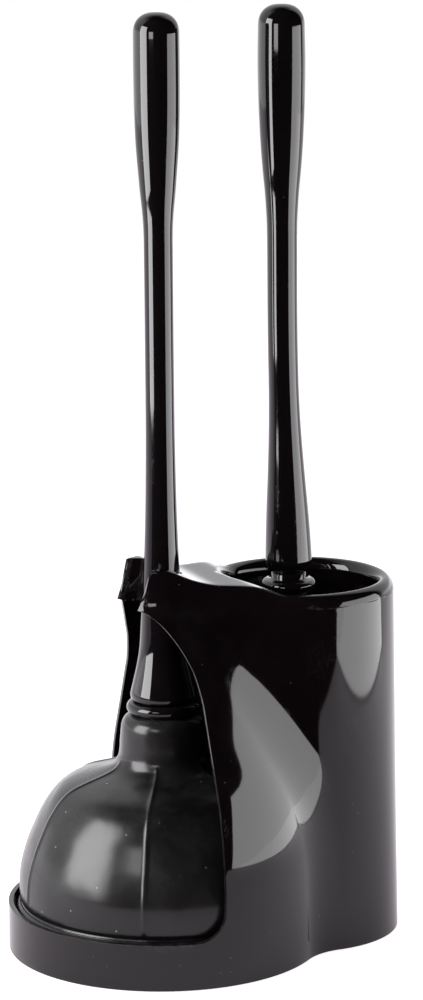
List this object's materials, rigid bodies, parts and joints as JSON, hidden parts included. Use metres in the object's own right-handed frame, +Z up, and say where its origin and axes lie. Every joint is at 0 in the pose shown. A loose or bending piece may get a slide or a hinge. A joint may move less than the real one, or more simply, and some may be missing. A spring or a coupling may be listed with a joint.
{
  "type": "toilet plunger",
  "caption": "Bell-cup toilet plunger with a long gloss handle, standing in a caddy with a slotted collar and a well that holds a matching bowl brush.",
  "frame": {"origin": "middle of the footprint on the surface the caddy stands on", "axes": "+Z up along both handles, +X across the set (its symmetry plane is x = 0), -Y to the plunger's open side, +Y to the brush well"},
  "size_m": [0.16, 0.2062, 0.4756],
  "materials": {
    "gloss_shell": "black moulded plastic, high gloss",
    "gloss_handle": "black moulded plastic, high gloss",
    "well_plastic": "black moulded plastic, semi gloss",
    "inner_plastic": "black moulded plastic, plain",
    "cup_rubber": "black rubber, satin",
    "pad_rubber": "dark grey rubber, matte",
    "nylon_bristle": "black nylon filament",
    "zinc_steel": "zinc plated"
  },
  "bodies": {
    "caddy": {"caddy_shell": "gloss_shell", "caddy_base_plate": "inner_plastic", "brush_well_cup": "well_plastic", "foot_pad_1": "pad_rubber", "foot_pad_2": "pad_rubber", "foot_pad_3": "pad_rubber", "foot_pad_4": "pad_rubber"},
    "plunger": {"plunger_handle": "gloss_handle", "plunger_ring": "gloss_handle", "plunger_stud": "zinc_steel", "cup_hub": "inner_plastic", "plunger_cup": "cup_rubber"},
    "brush": {"brush_handle": "gloss_handle", "splash_disc": "gloss_handle", "brush_stud": "zinc_steel", "brush_core": "inner_plastic", "bristle_row_1": "nylon_bristle", "bristle_row_2": "nylon_bristle", "bristle_row_3": "nylon_bristle", "bristle_row_4": "nylon_bristle", "bristle_row_5": "nylon_bristle"}
  },
  "joints": [
    {"name": "plunger_tilt", "type": "hinge", "parent": "caddy", "child": "plunger", "pos_m": [0, -0.1007, 0.024], "axis": [1, 0, 0], "range_deg": [0, 10]},
    {"name": "brush_lift", "type": "slide", "parent": "caddy", "child": "brush", "axis": [0, 0, 1], "range_m": [0, 0.085]}
  ]
}
